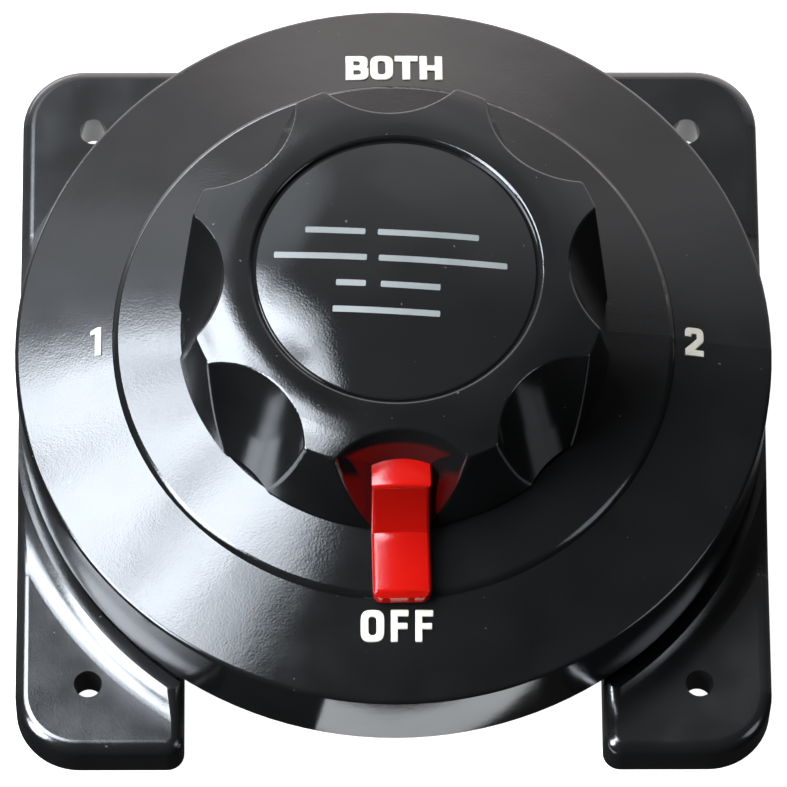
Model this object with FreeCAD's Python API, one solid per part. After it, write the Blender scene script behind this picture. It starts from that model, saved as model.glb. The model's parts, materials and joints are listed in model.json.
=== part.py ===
"""Marine battery selector switch: square mounting base, round front case, fluted knob and contact set.

Millimetres. The origin is the centre of the mounting face and +Z is the knob shaft's axis, out of the
front. The cable notch opens towards -Y, where the OFF mark is; BOTH is at +Y, 1 at -X and 2 at +X.
The knob, its label, the pointer, the shaft and the rotor with its contact turn about +Z.
"""

import FreeCAD, Part
import math
import os

from FreeCAD import Vector

UP = Vector(0, 0, 1)
DOWN = Vector(0, 0, -1)
ORIGIN = Vector(0, 0, 0)

# Mounting base
BASE_HALF = 65.0  # half the side of the square base
BASE_CORNER_R = 11.0
FOOT_TOP = 8.8  # height of the four flat ears
FOOT_EDGE_R = 2.2  # rounding of the ears' top edge
FOOT_INNER_R = 3.0  # corner of an ear beside the cable notch
HOLE_SPACING = 105.0  # screw pattern, centre to centre both ways
HOLE_R = 2.4
NOTCH_HALF = 36.0  # half the cable notch's width
COVE_OUTER_R = 70.7  # where the ear starts to rise towards the case
CREST_R = 66.35
CREST_TOP = 10.2
COVE_END_R = 65.9  # the cove's arc is drawn on to here before the crest is levelled
SEAT_R = 64.2  # outer edge of the recess that the case's neck stands in
SEAT_TOP = 7.0
BASE_BORE_R = 60.2
WALL = 3.2  # wall round the coring under each ear
CORE_DEPTH = 5.4
CORE_INNER_R = 68.0
CORE_NEAR = 20.0  # the coring of an upper ear starts this far from the middle lines
BOSS_R = 6.0

# Front case
DRUM_R = 65.0
DRUM_BOTTOM = 14.8
DRUM_TOP = 30.84  # top of the straight wall, under the rim's rounding
RIM_R = 0.9
RIM_STEPS = 8  # the rim's rounding is drawn as this many narrow cones
DIAL_SLOPE = math.radians(15.0)
PLATEAU_R = 47.5
PLATEAU_STEP = 1.0  # the raised inner part of the dial stands this much proud
PLATEAU_SLOPE = math.radians(12.5)
STEP_FOOT = 0.7  # how far the rounded step runs out over the dial
DRUM_EDGE = 0.4  # bevel at the foot of the drum's wall
HUB_FLAT_R = 36.5  # inside this the dial is flat, under the knob
NECK_R = 63.6
CASE_WALL = 3.0
NECK_BORE_R = 60.6
LEDGE_R = 57.5  # inner edge of the ledge that the gasket bears on
BUSH_COLLAR = 4.5  # wall round the bush inside the case
CARRIER_BOSS_R = 4.5
BOSS_SKIN = 1.5  # left between a boss and the dial's face

# Case screws: from the back of the base into the neck's lugs
LUG_ANGLES = (25.0, 155.0, 205.0, 335.0)
LUG_AT_R = 57.5
LUG_R = 4.5
LUG_TOP = 16.0
SCREW_R = 1.5
SCREW_PLAY = 0.2  # radial play of a screw in its clearance hole
SCREW_HEAD_R = 3.0
SCREW_HEAD_T = 1.8
SCREW_HEAD_SINK = 0.3  # case screw heads sit this far inside the mounting face
SCREW_SLOT_HALF = 0.4
SCREW_SLOT_DEPTH = 0.7

# Contact carrier (rear insulating plate)
CARRIER_R = 60.4
CARRIER_BOTTOM = 17.0
CARRIER_TOP = 22.0
GASKET_TOP = 23.2
CARRIER_SCREW_ANGLES = (0.0, 90.0, 180.0, 270.0)
CARRIER_SCREW_AT_R = 52.0
CARRIER_SCREW_TOP = 29.5
BARRIER_AT = 14.0  # two ribs between the studs, this far each side of the middle
BARRIER_HALF = 1.5
BARRIER_HEIGHT = 6.0
BARRIER_INNER_Y = -26.0
BARRIER_OUTER_Y = -50.0

# Fixed contacts and studs
CONTACT_TOP = 24.5
CONTACT_ANGLES = {"1": 135.0, "2": 45.0, "common": 270.0}
STUD_AT_R = 36.0
STUD_R = 4.76  # 3/8 inch
STUD_END = 2.0
STUD_CHAMFER = 0.8
PAD_INNER_R = 27.0
PAD_OUTER_R = 44.5
PAD_HALF_ANGLE = 15.0
RING_INNER_R = 15.0
RING_OUTER_R = 22.0
TAB_HALF = 8.0
WASHER_R = 9.5
WASHER_T = 1.6
LOCK_WASHER_R = 8.3
LOCK_WASHER_T = 2.2
LOCK_WASHER_GAP_HALF = 0.4
NUT_FLATS = 14.3
NUT_HEIGHT = 8.2

# Moving contact and rotor
GAP = 0.2  # between the moving contact and the fixed ones
BRIDGE_T = 2.0
BRIDGE_OUTER_R = 43.0
BRIDGE_HALF_ANGLE = 50.0
BRIDGE_RING_R = 21.5
HUB_SQUARE = 17.0
HUB_SQUARE_PLAY = 0.2
HUB_BOTTOM = 25.0
ROTOR_BOTTOM = 29.8
ROTOR_TOP = 33.0
ROTOR_R = 27.0
DETENT_DEPTH = 2.0
DETENT_R = 3.2
SPRING_WIRE_R = 0.7
SPRING_COIL_R = 14.2
SPRING_TURNS = 1.5

# Shaft, bush and seal
KNOB_SCREW_TIP = 46.0
SHAFT_R = 6.0
SHAFT_FLAT = 4.6  # half the width over the shaft's flats
PILOT_R = 4.0
PILOT_END = 19.4
SHAFT_TOP = 57.0
RUNNING = 0.05  # radial running clearance of shaft and bush
BUSH_R = 8.0
BUSH_BOTTOM = 34.0
BUSH_TOP = 37.7
SEAL_WIRE_R = 0.95
CLIP_GROOVE_R = 3.2
CLIP_R = 7.5
CLIP_T = 0.7
CLIP_MOUTH_HALF = 2.4
THRUST_WASHER_R = 11.5
THRUST_PLAY = 0.3

# Detent leaf springs
LEAF_T = 0.8
LEAF_HEIGHT = 2.8
LEAF_HALF_LENGTH = 17.0
LEAF_AT = 29.6  # distance of the straight leaf from the axis
LEAF_NOSE_R = 2.3
LEAF_TIP = 25.35  # nearest point of the leaf's nose to the axis, inside a notch
POST_R = 2.0

# Knob
KNOB_REST_TURN = 1.2  # degrees anticlockwise: play left in the OFF detent
KNOB_BOTTOM = 40.7
KNOB_FOOT_R = 37.0
KNOB_RIM_R = 35.8
KNOB_RIM_Z = 63.7
RING_EDGE_Z = 65.25  # inner edge of the sloping top ring
RING_CROWN = 0.4  # how far the ring bulges over a straight slope
LABEL_RECESS_R = 24.3
LABEL_R = 23.7
LABEL_TOP = 65.1
LABEL_FLOOR = 64.1
FLUTES = 8
FLUTE_R = 16.3
FLUTE_BOTTOM_TOP = 29.24  # flute bottom's distance from the axis at the rim
FLUTE_BOTTOM_FOOT = 35.85  # and at the knob's foot
KNOB_SHELL = 3.0
KNOB_HUB_R = 11.0
KNOB_CEILING = 59.0
KNOB_CORNER_R = 1.0  # rounding of the lobes' upright corners
KNOB_OUTLINE_R = 0.45  # and of the outline of the knob's top
LABEL_RIM_R = 0.5  # and of the label recess's rim
LABEL_BEVEL = 0.25
LABEL_DOME = 1.2  # the label stands this much higher in the middle than at its edge
LABEL_FLAT_R = 1.0
KEY_HEIGHT = 2.0  # the shaft's flats start this far up inside the knob
KNOB_SCREW_HEAD_R = 4.5
KNOB_SCREW_HEAD_T = 2.6
KNOB_SCREW_SEAT = 2.5  # knob material between the shaft's end and the screw's head

# Pointer
POINTER_HALF = 4.9
POINTER_ROOT = 27.0
POINTER_FACE = 36.3  # front of the tab that stands in the flute
POINTER_TOP = 56.8
RISER_MIDDLE = (36.8, 48.5)  # distance from the axis and height, half way down the hollow riser
FOOT_START = (38.5, 42.3)
FOOT_END = (49.0, 39.9)
POINTER_TIP = 49.9
NOSE_THICKNESS = 1.9
POINTER_GAP = 0.5  # between the foot's underside and the dial
POINTER_EDGE_R = 0.6
NOSE_CORNER_R = 1.6


def at_angle(radius, degrees, height=0.0):
    """Point at a polar position."""
    turn = math.radians(degrees)
    return Vector(radius * math.cos(turn), radius * math.sin(turn), height)


def rod(radius, bottom, top, centre=ORIGIN):
    """Upright cylinder between two heights."""
    return Part.makeCylinder(radius, top - bottom, Vector(centre.x, centre.y, bottom), UP)


def tube(inner, outer, bottom, top, centre=ORIGIN):
    """Upright ring between two heights."""
    return rod(outer, bottom, top, centre).cut(rod(inner, bottom, top, centre))


def block(x0, x1, y0, y1, z0, z1):
    """Box between two corners."""
    return Part.makeBox(x1 - x0, y1 - y0, z1 - z0, Vector(x0, y0, z0))


def loop_face(start, steps, place):
    """Face inside a loop.

    A step is a point, for a straight run, or a pair of points, for an arc through one to the other.
    """
    edges = []
    here = start
    for step in [*steps, start]:
        if isinstance(step[0], tuple):
            through, end = step
            edges.append(Part.Arc(place(here), place(through), place(end)).toShape())
        else:
            end = step
            edges.append(Part.LineSegment(place(here), place(end)).toShape())
        here = end
    return Part.Face(Part.Wire(edges))


def turned(start, steps):
    """Solid of revolution about Z from a loop of (radius, height) points."""
    face = loop_face(start, steps, lambda p: Vector(p[0], 0, p[1]))
    return face.revolve(ORIGIN, UP, 360)


def sector(inner, outer, half_angle, bottom, top, middle):
    """Upright piece of a ring, half_angle each side of the middle angle."""
    start = middle - half_angle
    end = middle + half_angle
    edges = [
        Part.Arc(*(at_angle(outer, a, bottom) for a in (start, middle, end))).toShape(),
        Part.LineSegment(at_angle(outer, end, bottom), at_angle(inner, end, bottom)).toShape(),
        Part.Arc(*(at_angle(inner, a, bottom) for a in (end, middle, start))).toShape(),
        Part.LineSegment(at_angle(inner, start, bottom), at_angle(outer, start, bottom)).toShape(),
    ]
    return Part.Face(Part.Wire(edges)).extrude(Vector(0, 0, top - bottom))


def middle_of(edge):
    """Point half way along an edge."""
    return edge.valueAt((edge.FirstParameter + edge.LastParameter) / 2)


def upright_edges(shape, wanted):
    """Edges parallel to Z whose plan position the test accepts."""
    found = []
    for edge in shape.Edges:
        box = edge.BoundBox
        upright = box.ZLength > 1.0 and max(box.XLength, box.YLength) < 0.01
        if upright and wanted(middle_of(edge)):
            found.append(edge)
    return found


def dial_height(radius):
    """Height of the dial's outer cone at a radius."""
    shoulder = DRUM_R - RIM_R + RIM_R * math.sin(DIAL_SLOPE)
    shoulder_z = DRUM_TOP + RIM_R * math.cos(DIAL_SLOPE)
    return shoulder_z + (shoulder - radius) * math.tan(DIAL_SLOPE)


def plateau_height(radius):
    """Height of the raised inner part of the dial at a radius."""
    return dial_height(PLATEAU_R) + PLATEAU_STEP + (PLATEAU_R - radius) * math.tan(PLATEAU_SLOPE)


HUB_TOP = plateau_height(HUB_FLAT_R)


def base_prism(top):
    """Outline of the base, a square with the cable notch, drawn up to a height."""
    half, notch = BASE_HALF, NOTCH_HALF
    inner_end = -BASE_BORE_R / 3
    corners = [(-half, -half), (-notch, -half), (-notch, inner_end), (notch, inner_end), (notch, -half)]
    corners += [(half, -half), (half, half), (-half, half)]
    points = [Vector(x, y, 0) for x, y in corners]
    prism = Part.Face(Part.makePolygon([*points, points[0]])).extrude(Vector(0, 0, top))
    outer = upright_edges(prism, lambda p: abs(p.x) > half - 1)
    prism = prism.makeFillet(BASE_CORNER_R, outer)
    inner = upright_edges(prism, lambda p: abs(abs(p.x) - notch) < 1 and p.y < 1 - half)
    return prism.makeFillet(FOOT_INNER_R, inner)


def cove_point(radius):
    """Point on the cove's arc at a distance from the axis, and the arc's slope there."""
    run = COVE_OUTER_R - CREST_R
    rise = CREST_TOP - FOOT_TOP
    arc_r = (run * run + rise * rise) / (2 * rise)
    across = COVE_OUTER_R - radius
    down = math.sqrt(arc_r * arc_r - across * across)
    return (radius, FOOT_TOP + arc_r - down), across / down


def rounded_base():
    """Base blank: flat ears, a cove that rises towards the case, and every top edge rounded.

    The cove runs on inwards as a straight ramp, so that the rounding has no corner to turn. The crest is
    levelled afterwards.
    """
    arc_end, slope = cove_point(COVE_END_R)
    arc_middle = cove_point((COVE_OUTER_R + COVE_END_R) / 2)[0]
    ramp_r = NOTCH_HALF / 2
    ramp_top = arc_end[1] + (COVE_END_R - ramp_r) * slope
    prism = base_prism(ramp_top + 1)
    far = 2 * BASE_HALF
    steps = [
        (far, 0),
        (far, FOOT_TOP),
        (COVE_OUTER_R, FOOT_TOP),
        (arc_middle, arc_end),
        (ramp_r, ramp_top),
        (0, ramp_top),
    ]
    blank = prism.common(turned((0, 0), steps))
    sides = [f for f in prism.Faces if abs(f.normalAt(0, 0).z) < 0.01]
    rim = []
    for edge in blank.Edges:
        spot = middle_of(edge)
        on_side = min(f.distToShape(Part.Vertex(spot))[0] for f in sides) < 1e-3
        across_notch = abs(spot.x) < NOTCH_HALF - 1 and spot.y < 0
        if on_side and edge.BoundBox.ZMin > FOOT_TOP - 0.01 and not across_notch:
            rim.append(edge)
    return blank.makeFillet(FOOT_EDGE_R, rim)


def mounting_base():
    """Square base with four ears, a cored underside, and a recess for the case's neck."""
    base = rounded_base()
    base = base.common(block(-BASE_HALF, BASE_HALF, -BASE_HALF, BASE_HALF, 0, CREST_TOP))
    base = base.cut(rod(BASE_BORE_R, 0, CREST_TOP + 1))
    base = base.cut(rod(SEAT_R, SEAT_TOP, CREST_TOP + 1))
    for angle in LUG_ANGLES:
        spot = at_angle(LUG_AT_R, angle)
        base = base.fuse(rod(LUG_R, 0, SEAT_TOP, spot))
    head_top = SCREW_HEAD_SINK + SCREW_HEAD_T
    for angle in LUG_ANGLES:
        spot = at_angle(LUG_AT_R, angle)
        base = base.cut(rod(SCREW_R + SCREW_PLAY, 0, SEAT_TOP, spot))
        base = base.cut(rod(SCREW_HEAD_R + SCREW_PLAY, 0, head_top, spot))
    half = HOLE_SPACING / 2
    for sx in (-1, 1):
        for sy in (-1, 1):
            spot = Vector(sx * half, sy * half, 0)
            base = base.cut(ear_core(sx, sy, spot)).cut(rod(HOLE_R, 0, FOOT_TOP + 1, spot))
    return base.removeSplitter()


def ear_core(sx, sy, spot):
    """Hollow under one ear, with a boss left standing round the screw hole."""
    reach = BASE_HALF - WALL
    inner_x = NOTCH_HALF + WALL if sy < 0 else CORE_NEAR
    core = block(inner_x, reach, CORE_NEAR, reach, 0, CORE_DEPTH)
    corner = upright_edges(core, lambda p: p.x > reach - 1 and p.y > reach - 1)
    core = core.makeFillet(BASE_CORNER_R - WALL, corner)
    if sx < 0:
        core = core.mirror(ORIGIN, Vector(1, 0, 0))
    if sy < 0:
        core = core.mirror(ORIGIN, Vector(0, 1, 0))
    return core.cut(rod(CORE_INNER_R, 0, CORE_DEPTH)).cut(rod(BOSS_R, 0, CORE_DEPTH, spot))


def case_shell():
    """Revolved shell of the front case: neck, drum wall, sloping dial and raised inner dial."""
    rim = []
    for step in range(RIM_STEPS + 1):
        angle = (math.pi / 2 - DIAL_SLOPE) * step / RIM_STEPS
        rim.append((DRUM_R - RIM_R + RIM_R * math.cos(angle), DRUM_TOP + RIM_R * math.sin(angle)))
    step_foot = PLATEAU_R + STEP_FOOT
    step_middle = (PLATEAU_R + STEP_FOOT / 2, dial_height(PLATEAU_R) + PLATEAU_STEP / 2)
    step_head = PLATEAU_R - STEP_FOOT / 2
    outside = [
        (NECK_R, SEAT_TOP),
        (NECK_R, DRUM_BOTTOM),
        (DRUM_R - DRUM_EDGE, DRUM_BOTTOM),
        (DRUM_R, DRUM_BOTTOM + DRUM_EDGE),
        *rim,
        (step_foot, dial_height(step_foot)),
        (step_middle, (step_head, plateau_height(step_head))),
        (HUB_FLAT_R, HUB_TOP),
        (BUSH_R, HUB_TOP),
    ]
    drop = CASE_WALL / math.cos(DIAL_SLOPE)
    inside = [
        (BUSH_R, BUSH_BOTTOM),
        (BUSH_R + BUSH_COLLAR, BUSH_BOTTOM),
        (BUSH_R + BUSH_COLLAR, HUB_TOP - CASE_WALL),
        (HUB_FLAT_R - 1, HUB_TOP - CASE_WALL),
        (LEDGE_R, dial_height(LEDGE_R) - drop),
        (LEDGE_R, GASKET_TOP),
        (NECK_BORE_R, GASKET_TOP),
    ]
    return turned((NECK_BORE_R, SEAT_TOP), [*outside, *inside])


def front_case():
    """Front case with its screw lugs, bosses and spring posts, and the neck open over the cable notch."""
    case = case_shell()
    for angle in LUG_ANGLES:
        case = case.fuse(rod(LUG_R, SEAT_TOP, LUG_TOP, at_angle(LUG_AT_R, angle)))
    for angle in CARRIER_SCREW_ANGLES:
        spot = at_angle(CARRIER_SCREW_AT_R, angle)
        top = dial_height(CARRIER_SCREW_AT_R) - BOSS_SKIN
        case = case.fuse(rod(CARRIER_BOSS_R, CARRIER_TOP, top, spot))
        case = case.cut(rod(SCREW_R, CARRIER_TOP, CARRIER_SCREW_TOP + 0.5, spot))
    for sx in (-1, 1):
        for sy in (-1, 1):
            post = Vector(sx * (LEAF_AT + LEAF_T + POST_R), sy * (LEAF_HALF_LENGTH - POST_R), 0)
            case = case.fuse(rod(POST_R, ROTOR_BOTTOM, HUB_TOP - 1, post))
    for angle in LUG_ANGLES:
        case = case.cut(rod(SCREW_R, SEAT_TOP, LUG_TOP - 1.0, at_angle(LUG_AT_R, angle)))
    notch = block(-NOTCH_HALF, NOTCH_HALF, -2 * BASE_HALF, -NOTCH_HALF, 0, DRUM_BOTTOM)
    return case.cut(notch).removeSplitter()


def contact_carrier():
    """Round insulating plate that closes the contact chamber, with a pilot bore for the shaft."""
    plate = rod(CARRIER_R, CARRIER_BOTTOM, CARRIER_TOP)
    plate = plate.cut(rod(PILOT_R + RUNNING, PILOT_END - 0.4, CARRIER_TOP))
    for angle in LUG_ANGLES:
        plate = plate.cut(rod(LUG_R + 0.5, CARRIER_BOTTOM, CARRIER_TOP, at_angle(LUG_AT_R, angle)))
    for angle in CARRIER_SCREW_ANGLES:
        plate = plate.cut(rod(SCREW_R, CARRIER_BOTTOM, CARRIER_TOP, at_angle(CARRIER_SCREW_AT_R, angle)))
    for angle in CONTACT_ANGLES.values():
        plate = plate.cut(rod(STUD_R, CARRIER_BOTTOM, CARRIER_TOP, at_angle(STUD_AT_R, angle)))
    for sx in (-1, 1):
        left = sx * BARRIER_AT - BARRIER_HALF
        right = sx * BARRIER_AT + BARRIER_HALF
        foot = CARRIER_BOTTOM - BARRIER_HEIGHT
        plate = plate.fuse(block(left, right, BARRIER_OUTER_Y, BARRIER_INNER_Y, foot, CARRIER_BOTTOM))
    return plate.removeSplitter()


def carrier_gasket():
    """Flat ring gasket between the carrier and the case's ledge."""
    return tube(LEDGE_R + 0.1, CARRIER_R - 0.1, CARRIER_TOP, GASKET_TOP)


def slotted_screw(spot, head_bottom, tip):
    """Screw that points up from a round head with a straight slot."""
    head_top = head_bottom + SCREW_HEAD_T
    screw = rod(SCREW_R, head_top, tip, spot).fuse(rod(SCREW_HEAD_R, head_bottom, head_top, spot))
    y0 = spot.y - SCREW_SLOT_HALF
    y1 = spot.y + SCREW_SLOT_HALF
    reach = SCREW_HEAD_R + 1
    slot = block(spot.x - reach, spot.x + reach, y0, y1, head_bottom, head_bottom + SCREW_SLOT_DEPTH)
    return screw.cut(slot).removeSplitter()


def case_screw(angle):
    """Screw from the back of the base into a lug of the neck."""
    return slotted_screw(at_angle(LUG_AT_R, angle), SCREW_HEAD_SINK, LUG_TOP - 1.5)


def carrier_screw(angle):
    """Screw that holds the carrier up to a boss in the case."""
    spot = at_angle(CARRIER_SCREW_AT_R, angle)
    return slotted_screw(spot, CARRIER_BOTTOM - SCREW_HEAD_T, CARRIER_SCREW_TOP)


def fixed_contact(name, angle):
    """Copper pad under one stud; the common contact adds a ring round the axis."""
    spot = at_angle(STUD_AT_R, angle)
    if name == "common":
        tab = block(RING_INNER_R + 2, PAD_OUTER_R, -TAB_HALF, TAB_HALF, CARRIER_TOP, CONTACT_TOP)
        tab.rotate(ORIGIN, UP, angle)
        pad = tube(RING_INNER_R, RING_OUTER_R, CARRIER_TOP, CONTACT_TOP).fuse(tab)
    else:
        pad = sector(PAD_INNER_R, PAD_OUTER_R, PAD_HALF_ANGLE, CARRIER_TOP, CONTACT_TOP, angle)
    return pad.cut(rod(STUD_R, CARRIER_TOP, CONTACT_TOP, spot)).removeSplitter()


def stud(angle):
    """Terminal stud, flush with the contact's top and chamfered at its free end."""
    spot = at_angle(STUD_AT_R, angle)
    shank = rod(STUD_R, STUD_END, CONTACT_TOP, spot)
    end = [e for e in shank.Edges if e.BoundBox.ZMax < STUD_END + 0.1]
    return shank.makeChamfer(STUD_CHAMFER, end)


def stud_washer(angle):
    """Flat washer under the carrier."""
    return tube(STUD_R, WASHER_R, CARRIER_BOTTOM - WASHER_T, CARRIER_BOTTOM, at_angle(STUD_AT_R, angle))


def lock_washer(angle):
    """Split spring washer between the flat washer and the nut."""
    spot = at_angle(STUD_AT_R, angle)
    top = CARRIER_BOTTOM - WASHER_T
    ring = tube(STUD_R, LOCK_WASHER_R, top - LOCK_WASHER_T, top, spot)
    gap = LOCK_WASHER_GAP_HALF
    split = block(STUD_R - 1, LOCK_WASHER_R + 1, -gap, gap, top - LOCK_WASHER_T, top)
    split.translate(spot)
    return ring.cut(split)


def stud_nut(angle):
    """Hex nut with its corners chamfered on both faces."""
    spot = at_angle(STUD_AT_R, angle)
    top = CARRIER_BOTTOM - WASHER_T - LOCK_WASHER_T
    bottom = top - NUT_HEIGHT
    corner_r = NUT_FLATS / math.sqrt(3)
    points = [Vector(corner_r * math.cos(a), corner_r * math.sin(a), bottom) for a in hexagon_angles()]
    nut = Part.Face(Part.makePolygon([*points, points[0]])).extrude(Vector(0, 0, NUT_HEIGHT))
    flat_r = NUT_FLATS / 2
    bevel = (corner_r - flat_r) * math.tan(math.radians(30))
    steps = [
        (flat_r, bottom),
        (corner_r, bottom + bevel),
        (corner_r, top - bevel),
        (flat_r, top),
        (0, top),
    ]
    nut = nut.common(turned((0, bottom), steps))
    nut.translate(spot)
    return nut.cut(rod(STUD_R, bottom, top, spot))


def hexagon_angles():
    """The six corner angles of a nut."""
    return [math.radians(60 * corner + 30) for corner in range(6)]


def shaft_bush():
    """Brass bearing bush pressed into the hub of the case."""
    return tube(SHAFT_R + RUNNING, BUSH_R, BUSH_BOTTOM, BUSH_TOP)


def shaft_seal():
    """Rubber ring round the shaft above the bush."""
    middle_r = BUSH_R - SEAL_WIRE_R
    return Part.makeTorus(middle_r, SEAL_WIRE_R, Vector(0, 0, BUSH_TOP + SEAL_WIRE_R), UP)


def detent_leaf(side):
    """Leaf spring with a round nose that rests in one of the rotor's notches."""
    bottom = ROTOR_BOTTOM + 0.2
    top = bottom + LEAF_HEIGHT
    back = LEAF_AT + LEAF_T
    nose_middle = LEAF_TIP + LEAF_NOSE_R
    inner_r = LEAF_NOSE_R - LEAF_T
    centre = Vector(nose_middle, 0, 0)
    leaf = block(LEAF_AT, back, -LEAF_HALF_LENGTH, LEAF_HALF_LENGTH, bottom, top)
    leaf = leaf.fuse(rod(LEAF_NOSE_R, bottom, top, centre))
    leaf = leaf.fuse(block(nose_middle, LEAF_AT, -LEAF_NOSE_R, LEAF_NOSE_R, bottom, top))
    leaf = leaf.cut(rod(inner_r, bottom, top, centre))
    leaf = leaf.cut(block(nose_middle, back, -inner_r, inner_r, bottom, top)).removeSplitter()
    if side < 0:
        leaf = leaf.mirror(ORIGIN, Vector(1, 0, 0))
    return leaf


def contact_bridge():
    """Moving copper contact: a ring that always bears on the common contact, and a wide arm."""
    bottom = CONTACT_TOP + GAP
    top = bottom + BRIDGE_T
    arm = sector(HUB_SQUARE / 2, BRIDGE_OUTER_R, BRIDGE_HALF_ANGLE, bottom, top, 270.0)
    plate = arm.fuse(rod(BRIDGE_RING_R, bottom, top))
    half = (HUB_SQUARE + HUB_SQUARE_PLAY) / 2
    return plate.cut(block(-half, half, -half, half, bottom, top)).removeSplitter()


def rotor():
    """Moulded carrier of the moving contact: detent disc on a square hub."""
    disc = rod(ROTOR_R, ROTOR_BOTTOM, ROTOR_TOP)
    for quarter in range(4):
        notch = at_angle(ROTOR_R - DETENT_DEPTH + DETENT_R, 90.0 * quarter)
        disc = disc.cut(rod(DETENT_R, ROTOR_BOTTOM, ROTOR_TOP, notch))
    half = HUB_SQUARE / 2
    hub = block(-half, half, -half, half, HUB_BOTTOM, ROTOR_BOTTOM)
    return disc.fuse(hub).cut(shaft_blank(CONTACT_TOP, ROTOR_TOP)).removeSplitter()


def contact_spring():
    """Coil spring that presses the moving contact down, one and a half turns round the hub."""
    bottom = CONTACT_TOP + GAP + BRIDGE_T
    height = ROTOR_BOTTOM - bottom - 2 * SPRING_WIRE_R
    pitch = height / SPRING_TURNS
    radius = SPRING_COIL_R
    helix = Part.makeHelix(pitch, height, radius)
    helix.translate(Vector(0, 0, bottom + SPRING_WIRE_R))
    start = helix.Edges[0].valueAt(helix.Edges[0].FirstParameter)
    ring = Part.Wire(Part.makeCircle(SPRING_WIRE_R, start, Vector(0, 1, pitch / (2 * math.pi * radius))))
    return Part.Wire(helix).makePipeShell([ring], True, True)


def shaft_blank(bottom, top):
    """Shaft section with two flats, used for the shaft's ends and for the holes that take them."""
    between_flats = block(-SHAFT_FLAT, SHAFT_FLAT, -SHAFT_R, SHAFT_R, bottom, top)
    return rod(SHAFT_R, bottom, top).common(between_flats)


def shaft():
    """Shaft with a pilot at the back, a clip groove, flats for the rotor and flats for the knob."""
    key_bottom = KNOB_BOTTOM + KEY_HEIGHT
    body = rod(PILOT_R, PILOT_END, HUB_BOTTOM)
    body = body.fuse(shaft_blank(HUB_BOTTOM, ROTOR_TOP)).fuse(rod(SHAFT_R, ROTOR_TOP, key_bottom))
    body = body.fuse(shaft_blank(key_bottom, SHAFT_TOP))
    body = body.cut(tube(CLIP_GROOVE_R, PILOT_R, HUB_BOTTOM - CLIP_T, HUB_BOTTOM))
    return body.cut(rod(SCREW_R, KNOB_SCREW_TIP - 1, SHAFT_TOP)).removeSplitter()


def retaining_clip():
    """Open spring clip in the shaft's groove, under the rotor."""
    bottom = HUB_BOTTOM - CLIP_T
    ring = tube(CLIP_GROOVE_R, CLIP_R, bottom, HUB_BOTTOM)
    return ring.cut(block(0, CLIP_R + 1, -CLIP_MOUTH_HALF, CLIP_MOUTH_HALF, bottom, HUB_BOTTOM))


def thrust_washer():
    """Washer on the shaft between the rotor and the hub of the case."""
    return tube(SHAFT_R, THRUST_WASHER_R, ROTOR_TOP, BUSH_BOTTOM - THRUST_PLAY)


def flute_cutter(turn):
    """Leaning cylinder that cuts one flute, deepest at the knob's rim."""
    rim_z = RING_EDGE_Z - (FLUTE_BOTTOM_TOP - LABEL_RECESS_R) * ring_slope()
    lean = math.atan((FLUTE_BOTTOM_FOOT - FLUTE_BOTTOM_TOP) / (rim_z - KNOB_BOTTOM))
    axis = Vector(-math.sin(lean), 0, math.cos(lean))
    on_rim = Vector(FLUTE_BOTTOM_TOP + FLUTE_R / math.cos(lean), 0, rim_z)
    length = 2 * RING_EDGE_Z
    cutter = Part.makeCylinder(FLUTE_R, length, on_rim - axis * (length / 2), axis)
    cutter.rotate(ORIGIN, UP, turn)
    return cutter


def ring_slope():
    """Fall of the knob's top ring per millimetre outwards."""
    return (RING_EDGE_Z - KNOB_RIM_Z) / (KNOB_RIM_R - LABEL_RECESS_R)


def fluted_blank():
    """Tapered knob body with eight flutes and softened edges."""
    rim = (KNOB_RIM_R, KNOB_RIM_Z)
    ring_edge = (LABEL_RECESS_R, RING_EDGE_Z)
    crown = ((KNOB_RIM_R + LABEL_RECESS_R) / 2, (KNOB_RIM_Z + RING_EDGE_Z) / 2 + RING_CROWN)
    steps = [(KNOB_FOOT_R, KNOB_BOTTOM), rim, (crown, ring_edge), (0, RING_EDGE_Z)]
    blank = turned((0, KNOB_BOTTOM), steps)
    for flute in range(FLUTES):
        blank = blank.cut(flute_cutter(360.0 * flute / FLUTES))
    return blank


def soften_knob(blank):
    """Round the lobes' upright corners, then the outline of the top."""
    corners = []
    for edge in blank.Edges:
        spot = middle_of(edge)
        tall = edge.BoundBox.ZMax - edge.BoundBox.ZMin > 10
        if tall and math.hypot(spot.x, spot.y) > KNOB_RIM_R - 1:
            corners.append(edge)
    blank = blank.makeFillet(KNOB_CORNER_R, corners)
    outline = []
    for edge in blank.Edges:
        spot = middle_of(edge)
        box = edge.BoundBox
        if box.ZMin > KNOB_RIM_Z - 1.0 and math.hypot(spot.x, spot.y) > FLUTE_BOTTOM_TOP - 1:
            outline.append(edge)
    return blank.makeFillet(KNOB_OUTLINE_R, outline)


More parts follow.
